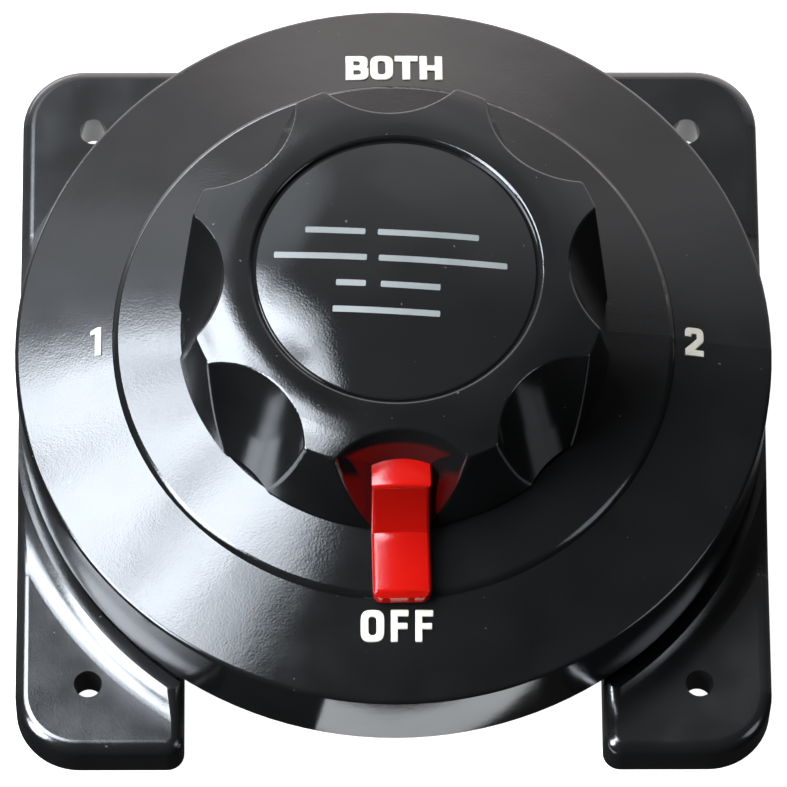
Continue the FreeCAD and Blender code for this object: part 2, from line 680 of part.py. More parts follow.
def knob():
    """Fluted knob: hollow under its top, with a keyed hub, a label recess and the pointer's slot."""
    body = soften_knob(fluted_blank())
    body = body.cut(rod(LABEL_RECESS_R, LABEL_FLOOR, RING_EDGE_Z + 1))
    recess_rim = [e for e in body.Edges if e.BoundBox.ZMin > RING_EDGE_Z - 0.01]
    body = body.makeFillet(LABEL_RIM_R, recess_rim)
    hollow = rod(FLUTE_BOTTOM_TOP - KNOB_SHELL, KNOB_BOTTOM, KNOB_CEILING)
    body = body.cut(hollow.cut(rod(KNOB_HUB_R, KNOB_BOTTOM, KNOB_CEILING)))
    key_bottom = KNOB_BOTTOM + KEY_HEIGHT
    body = body.cut(rod(SHAFT_R + 0.1, KNOB_BOTTOM, key_bottom)).cut(shaft_blank(key_bottom, SHAFT_TOP))
    body = body.cut(rod(SCREW_R + SCREW_PLAY, SHAFT_TOP, LABEL_FLOOR))
    body = body.cut(rod(KNOB_SCREW_HEAD_R + 1, SHAFT_TOP + KNOB_SCREW_SEAT, LABEL_FLOOR))
    return body.cut(pointer_block()).removeSplitter()


def dome_height(radius):
    """Height of the label's domed face at a distance from the axis."""
    edge = LABEL_R - LABEL_BEVEL
    dome_r = (edge * edge + LABEL_DOME * LABEL_DOME) / (2 * LABEL_DOME)
    return LABEL_TOP + LABEL_DOME - dome_r + math.sqrt(dome_r * dome_r - radius * radius)


def label_disc():
    """Printed disc let into the top of the knob: domed round a small flat, with a thin bevel."""
    edge = LABEL_R - LABEL_BEVEL
    middle = edge / 2
    summit = dome_height(LABEL_FLAT_R)
    steps = [
        (LABEL_R, LABEL_FLOOR),
        (LABEL_R, LABEL_TOP - LABEL_BEVEL),
        (edge, LABEL_TOP),
        ((middle, dome_height(middle)), (LABEL_FLAT_R, summit)),
        (0, summit),
    ]
    return turned((0, LABEL_FLOOR), steps)


def knob_screw():
    """Pan-head screw with a cross recess that holds the knob down on the shaft."""
    head_bottom = SHAFT_TOP + KNOB_SCREW_SEAT
    head_top = head_bottom + KNOB_SCREW_HEAD_T
    screw = rod(SCREW_R, KNOB_SCREW_TIP, head_bottom).fuse(rod(KNOB_SCREW_HEAD_R, head_bottom, head_top))
    reach = KNOB_SCREW_HEAD_R / 2
    half = SCREW_SLOT_HALF
    floor = head_top - KNOB_SCREW_HEAD_T / 2
    screw = screw.cut(block(-reach, reach, -half, half, floor, head_top))
    return screw.cut(block(-half, half, -reach, reach, floor, head_top)).removeSplitter()


def pointer_block():
    """The stretch of the pointer that sits in the knob's wall."""
    outer = -KNOB_FOOT_R - 1
    foot = KNOB_BOTTOM - 1
    return block(-POINTER_HALF, POINTER_HALF, outer, -POINTER_ROOT, foot, POINTER_TOP)


def pointer():
    """Red pointer: a tab in the bottom flute, a hollow riser, and a foot that reaches over the dial."""
    nose = (POINTER_TIP, FOOT_END[1] - (POINTER_TIP - FOOT_END[0]))
    under_nose = (POINTER_TIP, nose[1] - NOSE_THICKNESS)
    over_step = (PLATEAU_R, plateau_height(PLATEAU_R) + POINTER_GAP)
    steps = [
        (POINTER_ROOT, POINTER_TOP),
        (POINTER_FACE, POINTER_TOP),
        (RISER_MIDDLE, FOOT_START),
        FOOT_END,
        nose,
        under_nose,
        over_step,
        (POINTER_FACE, plateau_height(POINTER_FACE) + POINTER_GAP),
    ]
    side = loop_face((POINTER_ROOT, KNOB_BOTTOM), steps, lambda p: Vector(-POINTER_HALF, -p[0], p[1]))
    body = side.extrude(Vector(2 * POINTER_HALF, 0, 0))
    body = body.makeFillet(NOSE_CORNER_R, upright_edges(body, lambda p: p.y < 1 - POINTER_TIP))
    edges = [edge for edge in body.Edges if on_pointer_rim(edge)]
    return body.makeFillet(POINTER_EDGE_R, edges)


def on_pointer_rim(edge):
    """True for the pointer's outer edges: along its sides, across the tab's front and round the nose."""
    spot = middle_of(edge)
    if spot.y > 1 - POINTER_FACE or edge.BoundBox.ZMin < FOOT_END[1] - 2:
        return False
    along_side = abs(abs(spot.x) - POINTER_HALF) < 0.01 and spot.z > FOOT_END[1] - 0.01
    across_tab = abs(spot.z - POINTER_TOP) < 0.01 and abs(spot.y + POINTER_FACE) < 0.01
    return along_side or across_tab


def write(name, shape):
    """Write one sub-part as a STEP file."""
    solids = shape.Solids
    if len(solids) != 1 or not shape.isValid():
        raise ValueError(f"{name}: {len(solids)} solids, valid {shape.isValid()}")
    solids[0].exportStep(os.path.join("parts", name + ".step"))
    print(f"{name:18s} {solids[0].Volume:10.1f} mm3")


def fixed_parts():
    """Every sub-part that belongs to the case."""
    parts = {
        "mounting_base": mounting_base(),
        "front_case": front_case(),
        "contact_carrier": contact_carrier(),
        "carrier_gasket": carrier_gasket(),
        "shaft_bush": shaft_bush(),
        "shaft_seal": shaft_seal(),
        "detent_spring_1": detent_leaf(-1),
        "detent_spring_2": detent_leaf(1),
    }
    for number, angle in enumerate(LUG_ANGLES, 1):
        parts[f"case_screw_{number}"] = case_screw(angle)
    for number, angle in enumerate(CARRIER_SCREW_ANGLES, 1):
        parts[f"carrier_screw_{number}"] = carrier_screw(angle)
    for name, angle in CONTACT_ANGLES.items():
        parts[f"contact_{name}"] = fixed_contact(name, angle)
        parts[f"stud_{name}"] = stud(angle)
        parts[f"washer_{name}"] = stud_washer(angle)
        parts[f"lock_washer_{name}"] = lock_washer(angle)
        parts[f"nut_{name}"] = stud_nut(angle)
    return parts


def turning_parts():
    """Every sub-part that turns with the knob, set at the rest angle."""
    parts = {
        "knob": knob(),
        "label_disc": label_disc(),
        "pointer": pointer(),
        "knob_screw": knob_screw(),
        "shaft": shaft(),
        "thrust_washer": thrust_washer(),
        "rotor": rotor(),
        "contact_spring": contact_spring(),
        "contact_bridge": contact_bridge(),
        "retaining_clip": retaining_clip(),
    }
    for shape in parts.values():
        shape.rotate(ORIGIN, UP, KNOB_REST_TURN)
    return parts


def main():
    os.makedirs("parts", exist_ok=True)
    for name, shape in {**fixed_parts(), **turning_parts()}.items():
        write(name, shape)


main()
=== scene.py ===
"""Looks for the battery switch: procedural materials, dial marks, threaded studs, crowned pointer,
label with its print, floor, lights and camera.

Metres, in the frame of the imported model. +Z is the knob's axis, out of the front of the switch.
"""

import json
import math

import bmesh
import bpy
from mathutils import Matrix, Vector
from mathutils.bvhtree import BVHTree


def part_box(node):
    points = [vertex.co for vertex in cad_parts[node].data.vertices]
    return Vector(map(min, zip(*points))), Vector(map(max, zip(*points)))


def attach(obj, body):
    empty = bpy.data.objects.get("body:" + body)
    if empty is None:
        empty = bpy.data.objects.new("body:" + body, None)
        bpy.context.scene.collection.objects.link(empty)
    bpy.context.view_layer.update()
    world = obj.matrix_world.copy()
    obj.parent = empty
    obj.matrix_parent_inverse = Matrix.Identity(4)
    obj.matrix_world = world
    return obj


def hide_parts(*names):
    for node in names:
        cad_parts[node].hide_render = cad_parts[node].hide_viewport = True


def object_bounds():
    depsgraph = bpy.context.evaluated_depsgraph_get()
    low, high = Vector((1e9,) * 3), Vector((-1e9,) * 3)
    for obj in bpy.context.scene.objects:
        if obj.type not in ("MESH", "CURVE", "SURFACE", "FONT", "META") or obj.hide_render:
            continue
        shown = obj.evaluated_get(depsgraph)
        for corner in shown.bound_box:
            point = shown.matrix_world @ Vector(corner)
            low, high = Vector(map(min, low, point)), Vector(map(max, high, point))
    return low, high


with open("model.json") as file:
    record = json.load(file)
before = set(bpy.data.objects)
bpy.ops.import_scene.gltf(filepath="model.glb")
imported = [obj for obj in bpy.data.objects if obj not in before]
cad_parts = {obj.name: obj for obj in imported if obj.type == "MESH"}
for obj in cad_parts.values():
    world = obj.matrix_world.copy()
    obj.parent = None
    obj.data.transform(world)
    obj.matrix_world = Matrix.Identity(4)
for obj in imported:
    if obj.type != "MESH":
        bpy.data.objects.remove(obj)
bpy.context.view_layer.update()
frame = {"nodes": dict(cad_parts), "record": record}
MM = 0.001

# Camera: aims at a point over the middle of the switch, from above the OFF side
CAMERA_AIM = Vector((-0.04, -7.44, 30.0)) * MM
CAMERA_DISTANCE = 1308.87 * MM
CAMERA_ELEVATION = math.radians(66.33)
CAMERA_AZIMUTH = math.radians(2.06)
CAMERA_ROLL = math.radians(-1.83)
CAMERA_LENS = 349.2
CAMERA_REACH = 20.0  # metres, past the whole floor
SENSOR = 36.0

# Finish of each plastic slot, of the dial marks and of the label print: darker and lighter colour,
# roughness, depth of the orange peel in millimetres, and refractive index. All but the pointer have
# an index above a real plastic's 1.5, for stronger reflections
PLASTICS = {
    "base_plastic": ((0.006, 0.006, 0.006), (0.009, 0.009, 0.009), 0.18, 0.007, 1.8),
    "case_plastic": ((0.005, 0.005, 0.005), (0.008, 0.008, 0.008), 0.12, 0.007, 1.65),
    "knob_plastic": ((0.005, 0.005, 0.005), (0.008, 0.008, 0.008), 0.09, 0.005, 1.65),
    "label_plastic": ((0.008, 0.008, 0.008), (0.010, 0.010, 0.010), 0.05, 0.003, 1.65),
    "pointer_plastic": ((0.38, 0.004, 0.002), (0.43, 0.006, 0.003), 0.14, 0.008, 1.5),
    "carrier_plastic": ((0.02, 0.02, 0.02), (0.03, 0.03, 0.03), 0.35, 0.007, 1.65),
    "rotor_plastic": ((0.5, 0.48, 0.43), (0.56, 0.53, 0.47), 0.35, 0.007, 1.65),
    "marks": ((0.52, 0.48, 0.39), (0.62, 0.58, 0.48), 0.4, 0.007, 1.65),
    "print": ((0.15, 0.162, 0.154), (0.19, 0.202, 0.194), 0.4, 0.007, 1.65),
    "rubber": ((0.012, 0.012, 0.012), (0.02, 0.02, 0.02), 0.6, 0.007, 1.65),
}
# Finish of each metal slot: darker and lighter colour, and roughness
METALS = {
    "copper": ((0.62, 0.25, 0.13), (0.80, 0.36, 0.20), 0.3),
    "brass": ((0.62, 0.45, 0.17), (0.75, 0.56, 0.25), 0.28),
    "stainless": ((0.50, 0.50, 0.50), (0.62, 0.62, 0.61), 0.25),
    "spring_steel": ((0.36, 0.36, 0.37), (0.50, 0.50, 0.51), 0.3),
}
GRAIN_DEPTH = 0.004  # of metal, in millimetres

# Brightness of dust specks, and how far smudges move the roughness down and up
DUST = 0.07
SMUDGE_LOW = 0.85
SMUDGE_HIGH = 1.15

# Noises: grains in a millimetre, and detail
COLOUR_NOISE = (0.06, 2.0)
DUST_NOISE = (0.9, 1.0)
SMUDGE_NOISE = (0.12, 4.0)
TARNISH_NOISE = (0.15, 4.0)
GRAIN_NOISE = (1.5, 2.0)
FLOOR_NOISE = (0.01, 2.0)
CARD_NOISE = (0.0065, 3.0)
# Bumps of moulded plastic, from orange peel to a slow waviness: noise, and depth in peel depths
MOULDED_BUMPS = [((2.6, 2.0), 1.3), ((0.25, 2.0), 2.0), ((0.05, 1.0), 14.0)]
# Values of each noise between which its first colour changes to its second
COLOUR_SPREAD = (0.3, 0.7)
DUST_SPREAD = (0.79, 0.83)
SMUDGE_SPREAD = (0.35, 0.65)
TARNISH_SPREAD = (0.35, 0.65)
CARD_SPREAD = (0.36, 0.5)
SURROUND_SPREAD = (0.4, 0.55)
NEW_STOP = 0.5  # where a new stop of a ramp stands before it is given its place

FLOOR_HALF = 3.0  # metres
FLOOR_GAP = 0.1 * MM  # between the floor and the mounting face
FLOOR_GLOW = 1.0
FLOOR_GREYS = (0.38, 0.42)
FLOOR_ROUGHNESS = 0.7
# The parts of the floor that show in reflections, in millimetres: one in front of the cable notch
# (its left, right, near and far edges), and squares under the two far screw holes
FRONT_PATCH = (-16.0, 34.0, -76.0, -69.0)
HOLE_AT = 52.5
HOLE_PATCH_HALF = 6.0

# A mesh that follows a curved face is cut into strips this wide, in millimetres
STRIP = 1.0
RAY_START = 10.0  # above the switch, in millimetres

# Plain letterform for the dial's position marks, in millimetres: outlines of (x, y, corner radius),
# first the outer one and then the holes
MARK_HEIGHT = 5.5
MARK_SCALE = 0.95
CORNER_STEPS = 6
EDGE_STEPS = 2
LETTERS = {
    "B": [
        [
            (0.0, 0.0, 0.2),
            (4.2, 0.0, 1.3),
            (4.2, 2.65, 0.7),
            (3.75, 2.85, 0.1),
            (4.05, 3.1, 0.6),
            (4.05, 5.5, 1.2),
            (0.0, 5.5, 0.2),
        ],
        [(1.45, 1.15, 0.1), (2.8, 1.15, 0.5), (2.8, 2.25, 0.5), (1.45, 2.25, 0.1)],
        [(1.45, 3.3, 0.1), (2.65, 3.3, 0.5), (2.65, 4.35, 0.5), (1.45, 4.35, 0.1)],
    ],
    "O": [
        [(0.0, 0.0, 1.7), (4.2, 0.0, 1.7), (4.2, 5.5, 1.7), (0.0, 5.5, 1.7)],
        [(1.4, 1.15, 0.7), (2.8, 1.15, 0.7), (2.8, 4.35, 0.7), (1.4, 4.35, 0.7)],
    ],
    "T": [
        [
            (1.4, 0.0, 0.2),
            (2.85, 0.0, 0.2),
            (2.85, 4.25, 0.1),
            (4.25, 4.25, 0.2),
            (4.25, 5.5, 0.2),
            (0.0, 5.5, 0.2),
            (0.0, 4.25, 0.2),
            (1.4, 4.25, 0.1),
        ],
    ],
    "H": [
        [
            (0.0, 0.0, 0.2),
            (1.4, 0.0, 0.2),
            (1.4, 2.15, 0.1),
            (2.8, 2.15, 0.1),
            (2.8, 0.0, 0.2),
            (4.2, 0.0, 0.2),
            (4.2, 5.5, 0.2),
            (2.8, 5.5, 0.2),
            (2.8, 3.35, 0.1),
            (1.4, 3.35, 0.1),
            (1.4, 5.5, 0.2),
            (0.0, 5.5, 0.2),
        ],
    ],
    "F": [
        [
            (0.0, 0.0, 0.2),
            (1.25, 0.0, 0.2),
            (1.25, 2.2, 0.1),
            (3.0, 2.2, 0.2),
            (3.0, 3.25, 0.2),
            (1.25, 3.25, 0.1),
            (1.25, 4.4, 0.1),
            (3.2, 4.4, 0.2),
            (3.2, 5.5, 0.2),
            (0.0, 5.5, 0.2),
        ],
    ],
    "1": [
        [
            (0.85, 0.0, 0.15),
            (2.0, 0.0, 0.15),
            (2.0, 5.5, 0.2),
            (1.15, 5.5, 0.3),
            (0.0, 4.8, 0.15),
            (0.0, 4.0, 0.15),
            (0.85, 4.3, 0.1),
        ],
    ],
    "2": [
        [
            (0.0, 0.0, 0.15),
            (3.4, 0.0, 0.15),
            (3.4, 1.15, 0.15),
            (1.75, 1.15, 0.1),
            (3.4, 2.9, 1.2),
            (3.4, 5.5, 1.5),
            (0.0, 5.5, 1.4),
            (0.0, 3.7, 0.2),
            (1.2, 3.7, 0.2),
            (1.2, 4.35, 0.4),
            (2.15, 4.35, 0.4),
            (2.15, 3.4, 0.7),
            (0.0, 1.25, 0.1),
        ],
    ],
}
# Each mark: its letters, the gap between them, and the place of its middle on the dial
MARKS = {
    "mark_off": ("OFF", 1.15, (0.2, -52.4)),
    "mark_both": ("BOTH", 0.3, (0.4, 52.2)),
    "mark_1": ("1", 0.0, (-51.0, -0.1)),
    "mark_2": ("2", 0.0, (51.5, -0.2)),
}
MARK_RELIEF = 0.32
MARK_EDGE = 0.12

# Threads of the terminal studs, 3/8-16, in millimetres
STUDS = ("stud_1", "stud_2", "stud_common")
THREAD_PITCH = 1.5875
THREAD_DEPTH = 0.9
THREAD_ROWS = 8  # in one pitch
THREAD_SIDES = 40
THREAD_LEAD_IN = 0.8

# Pointer, in millimetres: its upper faces are crowned, and the part of its foot past FOOT_FROM
# keeps FOOT_KEPT of its length. The knob rests a little anticlockwise of the OFF line
POINTER_CROWN = 0.45
POINTER_HALF = 4.9
POINTER_SHARP = math.radians(15)
FOOT_FROM = 40.0
FOOT_KEPT = 0.91
KNOB_REST_TURN = math.radians(1.2)
WELD = 0.03  # points closer than this become one

# The label's face, in millimetres: a dome with a slight warp in waves, and a bevelled edge
LABEL_DOME = 1.5
LABEL_BEVEL = 0.25
LABEL_WARP = 0.05
LABEL_WAVE = 24.0
LABEL_RINGS = 24
LABEL_SIDES = 120
LABEL_SHARP = math.radians(30)

# Bars that stand for the four printed lines on the label, in millimetres: start, end and height
LABEL_BARS = [
    (-15.6, -5.5, 6.2),
    (-3.4, 13.6, 6.2),
    (-20.6, -5.0, 1.4),
    (-3.0, 18.6, 1.4),
    (-9.9, -4.9, -3.4),
    (-2.4, 7.6, -3.4),
    (-10.2, 7.8, -8.2),
]
BAR_HEIGHT = 1.1
BAR_CORNER = BAR_HEIGHT / 4
BAR_RELIEF = 0.02
BAR_EDGE = BAR_RELIEF / 4
LABEL_TILT = math.radians(-3.4)

# Colour of the room in each direction, by the Y part of that direction: 1 is straight along +Y, 0 is
# square to it, and the near side has the colour of 0
SURROUND = [
    (0.0, (0.010, 0.010, 0.010)),
    (0.33, (0.015, 0.015, 0.016)),
    (0.41, (0.090, 0.091, 0.095)),
    (0.5, (0.220, 0.222, 0.230)),
    (0.65, (0.410, 0.410, 0.420)),
    (0.76, (0.570, 0.545, 0.560)),
    (0.83, (1.000, 0.920, 0.920)),
]
SURROUND_CLOUDS = 5.0
CLOUD_DIM = 0.75
SURROUND_STRENGTH = 2.0

# Glowing cards: place, width and height in metres, radiance, and how dim the darker patches are
CARDS = {
    "key": ((-0.445, 0.135, 1.0), 0.75, 0.76, 18.0, 0.25),
    "fill": ((-0.50, 0.58, 1.05), 0.9, 0.6, 1.1, 0.8),
    "low": ((-0.82, -0.38, 0.62), 0.55, 1.05, 21.0, 0.8),
    "back": ((-0.9, 1.7, 0.12), 1.8, 0.3, 7.0, 0.8),
    "right": ((0.95, -0.45, 0.45), 0.5, 0.8, 2.0, 0.7),
}
CARD_TINT = (0.84, 0.91, 1.0)
CARD_FADE = 0.82  # a card starts to fade at this part of its half-width


def node_tree(name):
    """New material with an empty node tree, its output and a Principled shader."""
    material = bpy.data.materials.new(name)
    material.use_nodes = True
    nodes = material.node_tree.nodes
    nodes.clear()
    output = nodes.new("ShaderNodeOutputMaterial")
    shader = nodes.new("ShaderNodeBsdfPrincipled")
    material.node_tree.links.new(shader.outputs["BSDF"], output.inputs["Surface"])
    return material, shader


def noise(tree, per_mm, detail):
    """Noise in the piece's own coordinates, with about per_mm grains in a millimetre."""
    place = tree.nodes.new("ShaderNodeTexCoord")
    texture = tree.nodes.new("ShaderNodeTexNoise")
    texture.inputs["Scale"].default_value = per_mm / MM
    texture.inputs["Detail"].default_value = detail
    tree.links.new(place.outputs["Object"], texture.inputs["Vector"])
    return texture.outputs["Fac"]


def ramp(tree, source, stops):
    """Colour ramp over a value. Each stop is a position and a colour."""
    node = tree.nodes.new("ShaderNodeValToRGB")
    bands = node.color_ramp.elements
    while len(bands) < len(stops):
        bands.new(NEW_STOP)
    for band, (position, colour) in zip(bands, stops):
        band.position = position
        band.color = (*colour, 1.0)
    tree.links.new(source, node.inputs["Fac"])
    return node.outputs["Color"]


def fade(tree, source, spread, first, second):
    """Change from one colour to another while a value crosses a spread."""
    return ramp(tree, source, list(zip(spread, (first, second))))


def bump(tree, shader, heights):
    """Chain of bumps. Each entry is a height source and its depth in millimetres."""
    last = None
    for source, depth in heights:
        node = tree.nodes.new("ShaderNodeBump")
        node.inputs["Strength"].default_value = 1.0
        node.inputs["Distance"].default_value = depth * MM
        tree.links.new(source, node.inputs["Height"])
        if last:
            tree.links.new(last, node.inputs["Normal"])
        last = node.outputs["Normal"]
    tree.links.new(last, shader.inputs["Normal"])


def grey(level):
    """Colour with the same level in red, green and blue."""
    return (level, level, level)


def mix(tree, blend_type, first, second):
    """Full blend of two colours."""
    node = tree.nodes.new("ShaderNodeMix")
    node.data_type = "RGBA"
    node.blend_type = blend_type
    node.inputs["Factor"].default_value = 1.0
    tree.links.new(first, node.inputs["A"])
    tree.links.new(second, node.inputs["B"])
    return node.outputs["Result"]


def moulded_plastic(name, dark, light, roughness, peel, ior):
    """Glossy moulded plastic: colour drift, dust, smudged gloss, orange peel and waviness."""
    material, shader = node_tree(name)
    tree = material.node_tree
    colour = fade(tree, noise(tree, *COLOUR_NOISE), COLOUR_SPREAD, dark, light)
    dust = fade(tree, noise(tree, *DUST_NOISE), DUST_SPREAD, grey(0.0), grey(DUST))
    tree.links.new(mix(tree, "LIGHTEN", colour, dust), shader.inputs["Base Color"])
    glossy = grey(roughness * SMUDGE_LOW)
    smudged = grey(roughness * SMUDGE_HIGH)
    gloss = fade(tree, noise(tree, *SMUDGE_NOISE), SMUDGE_SPREAD, glossy, smudged)
    tree.links.new(gloss, shader.inputs["Roughness"])
    shader.inputs["IOR"].default_value = ior
    bump(tree, shader, [(noise(tree, *pattern), peel * depth) for pattern, depth in MOULDED_BUMPS])
    return material


def metal(name, dark, light, roughness):
    """Machined or plated metal with fine grain and a little tarnish."""
    material, shader = node_tree(name)
    tree = material.node_tree
    colour = fade(tree, noise(tree, *TARNISH_NOISE), TARNISH_SPREAD, dark, light)
    tree.links.new(colour, shader.inputs["Base Color"])
    shader.inputs["Metallic"].default_value = 1.0
    shader.inputs["Roughness"].default_value = roughness
    bump(tree, shader, [(noise(tree, *GRAIN_NOISE), GRAIN_DEPTH)])
    return material


def materials():
    """One finish for each material slot of the record, and those of the marks and the print."""
    finishes = {name: moulded_plastic(name, *look) for name, look in PLASTICS.items()}
    finishes.update({name: metal(name, *look) for name, look in METALS.items()})
    return finishes


def node_slots():
    """Material slot of each CAD node, from the record."""
    return {entry["node"]: entry["material_slot"] for entry in frame["record"]["subparts"]}


def finish_nodes(finishes):
    """Give every CAD node the finish of its slot."""
    slots = node_slots()
    for name, obj in frame["nodes"].items():
        obj.data.materials.clear()
        obj.data.materials.append(finishes[slots[name]])


def rounded_outline(corners):
    """Points of a closed outline whose corners are rounded. A corner is (x, y, radius)."""
    points = []
    for index, (x, y, radius) in enumerate(corners):
        here = Vector((x, y))
        before = Vector(corners[index - 1][:2]) - here
        after = Vector(corners[(index + 1) % len(corners)][:2]) - here
        half = before.angle(after) / 2
        reach = min(radius / math.tan(half), before.length / 2, after.length / 2)
        start = here + before.normalized() * reach
        end = here + after.normalized() * reach
        for step in range(CORNER_STEPS + 1):
            t = step / CORNER_STEPS
            points.append(start * (1 - t) ** 2 + here * 2 * t * (1 - t) + end * t**2)
    return points


def raised_shape(outlines, relief, edge):
    """Mesh of a flat shape with rounded edges, from outlines in millimetres."""
    curve = bpy.data.curves.new("outline", "CURVE")
    curve.dimensions = "2D"
    curve.fill_mode = "BOTH"
    curve.extrude = (relief - edge) * MM
    curve.bevel_depth = edge * MM
    curve.bevel_resolution = EDGE_STEPS
    curve.offset = -edge * MM
    for points in outlines:
        spline = curve.splines.new("POLY")
        spline.points.add(len(points) - 1)
        for point, (x, y) in zip(spline.points, points):
            point.co = (x * MM, y * MM, 0, 1)
        spline.use_cyclic_u = True
    holder = bpy.data.objects.new("outline", curve)
    bpy.context.scene.collection.objects.link(holder)
    bpy.context.view_layer.update()
    shaped = holder.evaluated_get(bpy.context.evaluated_depsgraph_get())
    mesh = bpy.data.meshes.new_from_object(shaped)
    bpy.data.objects.remove(holder)
    return mesh


def cut_in_strips(mesh):
    """Cut a mesh along evenly spaced planes across X and across Y."""
    work = bmesh.new()
    work.from_mesh(mesh)
    step = STRIP * MM
    for axis in (0, 1):
        places = [vertex.co[axis] for vertex in work.verts]
        normal = Vector((0, 0, 0))
        normal[axis] = 1.0
        for count in range(math.ceil(min(places) / step), math.ceil(max(places) / step)):
            whole = work.verts[:] + work.edges[:] + work.faces[:]
            place = normal * count * step
            bmesh.ops.bisect_plane(work, geom=whole, plane_co=place, plane_no=normal)
    work.to_mesh(mesh)
    work.free()


def weld(mesh):
    """Merge the points that are nearly in the same place."""
    work = bmesh.new()
    work.from_mesh(mesh)
    bmesh.ops.remove_doubles(work, verts=work.verts, dist=WELD * MM)
    work.to_mesh(mesh)
    work.free()


def drape(mesh, ground):
    """Rest a flat mesh on an object: every point rises by the height of the object under it."""
    cut_in_strips(mesh)
    surface = BVHTree.FromObject(ground, bpy.context.evaluated_depsgraph_get())
    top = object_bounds()[1].z + RAY_START * MM
    for vertex in mesh.vertices:
        above = Vector((vertex.co.x, vertex.co.y, top))
        hit = surface.ray_cast(above, Vector((0, 0, -1)))[0]
        vertex.co.z += hit.z


def add_piece(name, mesh, finish, body):
    """New piece of the object, riding on a body."""
    mesh.materials.clear()
    mesh.materials.append(finish)
    piece = bpy.data.objects.new(name, mesh)
    bpy.context.scene.collection.objects.link(piece)
    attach(piece, body)
    return piece


def word_outlines(word, gap, middle):
    """Outlines of a word in the plain letterform, centred on a point."""
    widths = [max(corner[0] for corner in LETTERS[letter][0]) for letter in word]
    left = middle[0] - MARK_SCALE * (sum(widths) + gap * (len(word) - 1)) / 2
    low = middle[1] - MARK_SCALE * MARK_HEIGHT / 2
    outlines = []
    for letter, width in zip(word, widths):
        for corners in LETTERS[letter]:
            points = rounded_outline(corners)
            outlines.append([(left + x * MARK_SCALE, low + y * MARK_SCALE) for x, y in points])
        left += MARK_SCALE * (width + gap)
    return outlines


def make_marks(finishes):
    """Raised painted position marks on the dial."""
    for name, (word, gap, middle) in MARKS.items():
        mesh = raised_shape(word_outlines(word, gap, middle), MARK_RELIEF, MARK_EDGE)
        drape(mesh, frame["nodes"]["front_case"])
        add_piece(name, mesh, finishes["marks"], "case")


def thread_radius(turn, height, radius, length):
    """Radius of a threaded stud in millimetres, at an angle in turns and a height above its end."""
    phase = (height / THREAD_PITCH - turn) % 1
    ridge = radius - THREAD_DEPTH * abs(2 * phase - 1)
    return min(ridge, radius - THREAD_LEAD_IN + min(height, length - height))


def stud_mesh(name, low, high):
    """Closed threaded stud that fills the box of the plain one."""
    radius = (high.x - low.x) / 2 / MM
    length = (high.z - low.z) / MM
    rows = math.ceil(length / THREAD_PITCH * THREAD_ROWS)
    points = []
    for row in range(rows + 1):
        height = length * row / rows
        for side in range(THREAD_SIDES):
            turn = side / THREAD_SIDES
            reach = thread_radius(turn, height, radius, length) * MM
            x = (low.x + high.x) / 2 + reach * math.cos(math.tau * turn)
            y = (low.y + high.y) / 2 + reach * math.sin(math.tau * turn)
            points.append((x, y, low.z + height * MM))
    faces = []
    for row in range(rows):
        under = row * THREAD_SIDES
        over = under + THREAD_SIDES
        for side in range(THREAD_SIDES):
            after = (side + 1) % THREAD_SIDES
            faces.append((under + side, under + after, over + after, over + side))
    faces.append(tuple(reversed(range(THREAD_SIDES))))
    faces.append(tuple(range(rows * THREAD_SIDES, (rows + 1) * THREAD_SIDES)))
    mesh = bpy.data.meshes.new(name)
    mesh.from_pydata(points, [], faces)
    return mesh


def make_studs(finishes):
    """Threaded terminal studs in place of the plain CAD ones."""
    slots = node_slots()
    for name in STUDS:
        slot = slots[name]
        mesh = stud_mesh(name, *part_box(name))
        piece = add_piece("threaded_" + name, mesh, finishes[slot], "case")
        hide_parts(name)


def make_pointer(finishes):
    """Pointer with crowned upper faces and a shorter foot, in place of the CAD one."""
    mesh = frame["nodes"]["pointer"].data.copy()
    cut_in_strips(mesh)
    weld(mesh)
    upward = [max(0.0, vertex.normal.z) for vertex in mesh.vertices]
    for vertex, facing in zip(mesh.vertices, upward):
        across = vertex.co.x * math.cos(KNOB_REST_TURN) + vertex.co.y * math.sin(KNOB_REST_TURN)
        bulge = max(0.0, 1 - (across / (POINTER_HALF * MM)) ** 2)
        vertex.co.z += POINTER_CROWN * MM * bulge * facing
        past = -vertex.co.y - FOOT_FROM * MM
        if past > 0:
            vertex.co.y = -FOOT_FROM * MM - past * FOOT_KEPT
    mesh.shade_smooth()
    mesh.set_sharp_from_angle(angle=POINTER_SHARP)
    slot = "pointer_plastic"
    piece = add_piece("crowned_pointer", mesh, finishes[slot], "knob")
    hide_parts("pointer")


def label_points(low, high):
    """Points of the label in the CAD disc's box: the middle of its top, then rings out and down."""
    rim = (high.x - low.x) / 2
    radius = rim - LABEL_BEVEL * MM
    edge_top = high.z - (LABEL_DOME + LABEL_WARP) * MM
    rings = []
    for step in range(1, LABEL_RINGS + 1):
        part = step / LABEL_RINGS
        inner = 1 - part * part
        rings.append((radius * part, edge_top + LABEL_DOME * MM * inner, inner))
    rings.append((rim, edge_top - LABEL_BEVEL * MM, 0.0))
    rings.append((rim, low.z, 0.0))
    points = [(0.0, 0.0, edge_top + LABEL_DOME * MM)]
    wave = math.tau / (LABEL_WAVE * MM)
    for ring_radius, height, warp in rings:
        for side in range(LABEL_SIDES):
            angle = math.tau * side / LABEL_SIDES
            x = ring_radius * math.cos(angle)
            y = ring_radius * math.sin(angle)
            swell = math.sin(wave * x) * math.sin(wave * y)
            points.append((x, y, height + swell * warp * LABEL_WARP * MM))
    return points


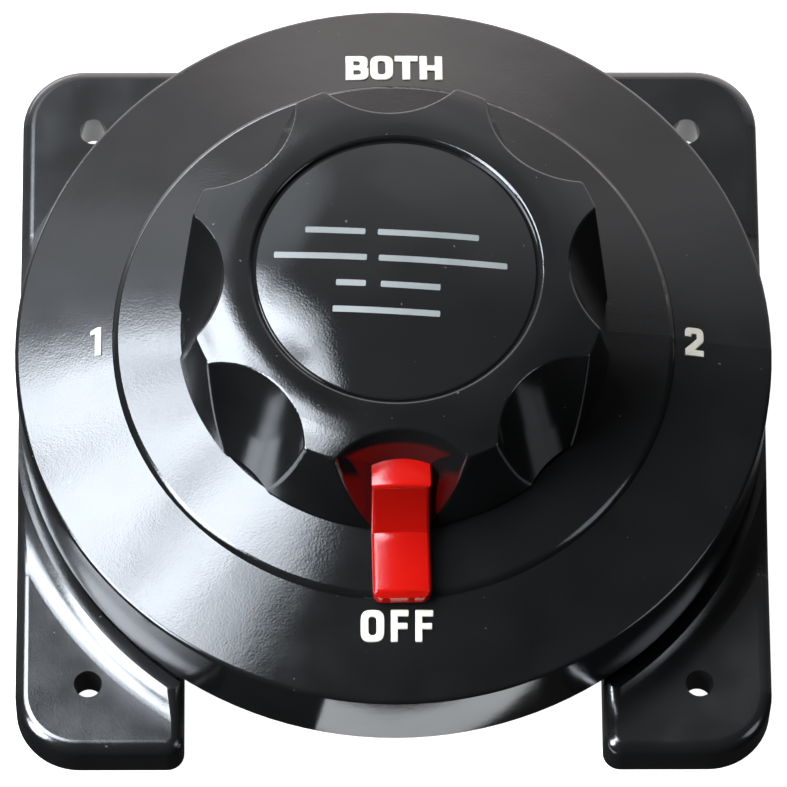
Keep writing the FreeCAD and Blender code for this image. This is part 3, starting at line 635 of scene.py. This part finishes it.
def label_mesh(low, high):
    """Closed label disc: a fan in the middle, walls between the rings and a flat underside."""
    points = label_points(low, high)
    last = len(points) - LABEL_SIDES
    faces = []
    for side in range(LABEL_SIDES):
        after = (side + 1) % LABEL_SIDES
        faces.append((0, 1 + side, 1 + after))
        for inner in range(1, last, LABEL_SIDES):
            outer = inner + LABEL_SIDES
            faces.append((inner + side, outer + side, outer + after, inner + after))
    faces.append(tuple(reversed(range(last, last + LABEL_SIDES))))
    mesh = bpy.data.meshes.new("label")
    mesh.from_pydata(points, [], faces)
    mesh.shade_smooth()
    mesh.set_sharp_from_angle(angle=LABEL_SHARP)
    return mesh


def make_label(finishes):
    """Domed label disc, a little warped, in place of the CAD one."""
    mesh = label_mesh(*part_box("label_disc"))
    label = add_piece("label", mesh, finishes["label_plastic"], "knob")
    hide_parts("label_disc")
    return label


def make_label_bars(finishes, label):
    """Plain printed bars on the label, in place of its lines of text."""
    turn = Matrix.Rotation(LABEL_TILT, 2)
    outlines = []
    for start, end, height in LABEL_BARS:
        low = height - BAR_HEIGHT / 2
        high = height + BAR_HEIGHT / 2
        corners = [(start, low), (end, low), (end, high), (start, high)]
        bar = rounded_outline([(*corner, BAR_CORNER) for corner in corners])
        outlines.append([turn @ point for point in bar])
    mesh = raised_shape(outlines, BAR_RELIEF, BAR_EDGE)
    drape(mesh, label)
    add_piece("label_print", mesh, finishes["print"], "knob")


def floor_piece(name, left, right, near, far, height, material):
    """Flat rectangle that belongs to the stage, in metres."""
    places = [(left, near), (right, near), (right, far), (left, far)]
    mesh = bpy.data.meshes.new(name)
    mesh.from_pydata([(x, y, height) for x, y in places], [], [(0, 1, 2, 3)])
    mesh.materials.append(material)
    piece = bpy.data.objects.new(name, mesh)
    bpy.context.scene.collection.objects.link(piece)
    return piece


def floor_finish():
    """Pale grey with a faint glow like a light table."""
    material, shader = node_tree("floor")
    tree = material.node_tree
    dark, light = FLOOR_GREYS
    pale = fade(tree, noise(tree, *FLOOR_NOISE), COLOUR_SPREAD, grey(dark), grey(light))
    tree.links.new(pale, shader.inputs["Base Color"])
    shader.inputs["Roughness"].default_value = FLOOR_ROUGHNESS
    shader.inputs["Emission Color"].default_value = (*grey(1.0), 1.0)
    shader.inputs["Emission Strength"].default_value = FLOOR_GLOW
    return material


def make_floor():
    """Floor that the switch doesn't reflect, apart from small parts of it."""
    material = floor_finish()
    half = FLOOR_HALF
    floor = floor_piece("floor", -half, half, -half, half, -FLOOR_GAP, material)
    floor.visible_glossy = False
    floor.visible_diffuse = False
    patch = [edge * MM for edge in FRONT_PATCH]
    floor_piece("floor_front", *patch, 0.0, material)
    near = (HOLE_AT - HOLE_PATCH_HALF) * MM
    far = (HOLE_AT + HOLE_PATCH_HALF) * MM
    floor_piece("floor_hole_left", -far, -near, near, far, -FLOOR_GAP / 2, material)
    floor_piece("floor_hole_right", near, far, near, far, -FLOOR_GAP / 2, material)


def card_finish(name, width, height, radiance, dim):
    """Clear glow in an oval that fades at its rim, with darker patches of level dim."""
    material = bpy.data.materials.new(name)
    material.use_nodes = True
    tree = material.node_tree
    tree.nodes.clear()
    output = tree.nodes.new("ShaderNodeOutputMaterial")
    glow = tree.nodes.new("ShaderNodeEmission")
    glow.inputs["Strength"].default_value = radiance
    clear = tree.nodes.new("ShaderNodeBsdfTransparent")
    both = tree.nodes.new("ShaderNodeAddShader")
    tree.links.new(clear.outputs["BSDF"], both.inputs[0])
    tree.links.new(glow.outputs["Emission"], both.inputs[1])
    tree.links.new(both.outputs["Shader"], output.inputs["Surface"])
    spot = tree.nodes.new("ShaderNodeTexCoord")
    fit = tree.nodes.new("ShaderNodeMapping")
    fit.inputs["Scale"].default_value = (2 / width, 2 / height, 1)
    reach = tree.nodes.new("ShaderNodeVectorMath")
    reach.operation = "LENGTH"
    tree.links.new(spot.outputs["Object"], fit.inputs["Vector"])
    tree.links.new(fit.outputs["Vector"], reach.inputs[0])
    rim = fade(tree, reach.outputs["Value"], (CARD_FADE, 1.0), grey(1.0), grey(0.0))
    shade = [dim * level for level in CARD_TINT]
    patches = fade(tree, noise(tree, *CARD_NOISE), CARD_SPREAD, shade, CARD_TINT)
    tree.links.new(mix(tree, "MULTIPLY", rim, patches), glow.inputs["Color"])
    return material


def make_card(name, place, width, height, finish):
    """Flat card that faces the switch, out of the camera's sight."""
    mesh = bpy.data.meshes.new(name)
    corners = [(-width / 2, -height / 2, 0), (width / 2, -height / 2, 0)]
    corners += [(width / 2, height / 2, 0), (-width / 2, height / 2, 0)]
    mesh.from_pydata(corners, [], [(0, 1, 2, 3)])
    mesh.materials.append(finish)
    card = bpy.data.objects.new(name, mesh)
    facing = (-place).to_track_quat("-Z", "Y").to_matrix().to_4x4()
    card.matrix_world = Matrix.Translation(place) @ facing
    card.visible_camera = False
    bpy.context.scene.collection.objects.link(card)


def make_surround():
    """Dim room, dark on the near side and rising to a bright wall behind the switch."""
    world = bpy.data.worlds.new("surround")
    world.use_nodes = True
    tree = world.node_tree
    place = tree.nodes.new("ShaderNodeTexCoord")
    split = tree.nodes.new("ShaderNodeSeparateXYZ")
    tree.links.new(place.outputs["Generated"], split.inputs["Vector"])
    glow = ramp(tree, split.outputs["Y"], SURROUND)
    texture = tree.nodes.new("ShaderNodeTexNoise")
    texture.inputs["Scale"].default_value = SURROUND_CLOUDS
    tree.links.new(place.outputs["Generated"], texture.inputs["Vector"])
    clouds = fade(tree, texture.outputs["Fac"], SURROUND_SPREAD, grey(CLOUD_DIM), grey(1.0))
    background = tree.nodes["Background"]
    tree.links.new(mix(tree, "MULTIPLY", glow, clouds), background.inputs["Color"])
    background.inputs["Strength"].default_value = SURROUND_STRENGTH
    bpy.context.scene.world = world


def make_lights():
    """Four glowing cards at the left and one at the right, and the surround."""
    for name, (place, width, height, radiance, dim) in CARDS.items():
        finish = card_finish(name, width, height, radiance, dim)
        make_card(name, Vector(place), width, height, finish)
    make_surround()


def make_camera():
    """Long lens from above the OFF side, with a slight roll."""
    level = Vector((math.sin(CAMERA_AZIMUTH), math.cos(CAMERA_AZIMUTH), 0))
    rise = math.sin(CAMERA_ELEVATION)
    run = math.cos(CAMERA_ELEVATION)
    forward = level * run - Vector((0, 0, rise))
    upward = level * rise + Vector((0, 0, run))
    right = Vector((math.cos(CAMERA_AZIMUTH), -math.sin(CAMERA_AZIMUTH), 0))
    turned_right = right * math.cos(CAMERA_ROLL) - upward * math.sin(CAMERA_ROLL)
    turned_up = right * math.sin(CAMERA_ROLL) + upward * math.cos(CAMERA_ROLL)
    camera = bpy.data.cameras.new("camera")
    camera.lens = CAMERA_LENS
    camera.sensor_width = SENSOR
    camera.clip_end = CAMERA_REACH
    obj = bpy.data.objects.new("camera", camera)
    turn = Matrix((turned_right, turned_up, -forward)).transposed().to_4x4()
    obj.matrix_world = Matrix.Translation(CAMERA_AIM - forward * CAMERA_DISTANCE) @ turn
    bpy.context.scene.collection.objects.link(obj)
    bpy.context.scene.camera = obj


bpy.context.scene.view_settings.view_transform = "Standard"
make_camera()
finishes = materials()
finish_nodes(finishes)
make_marks(finishes)
make_studs(finishes)
make_pointer(finishes)
label = make_label(finishes)
make_label_bars(finishes, label)
make_floor()
make_lights()
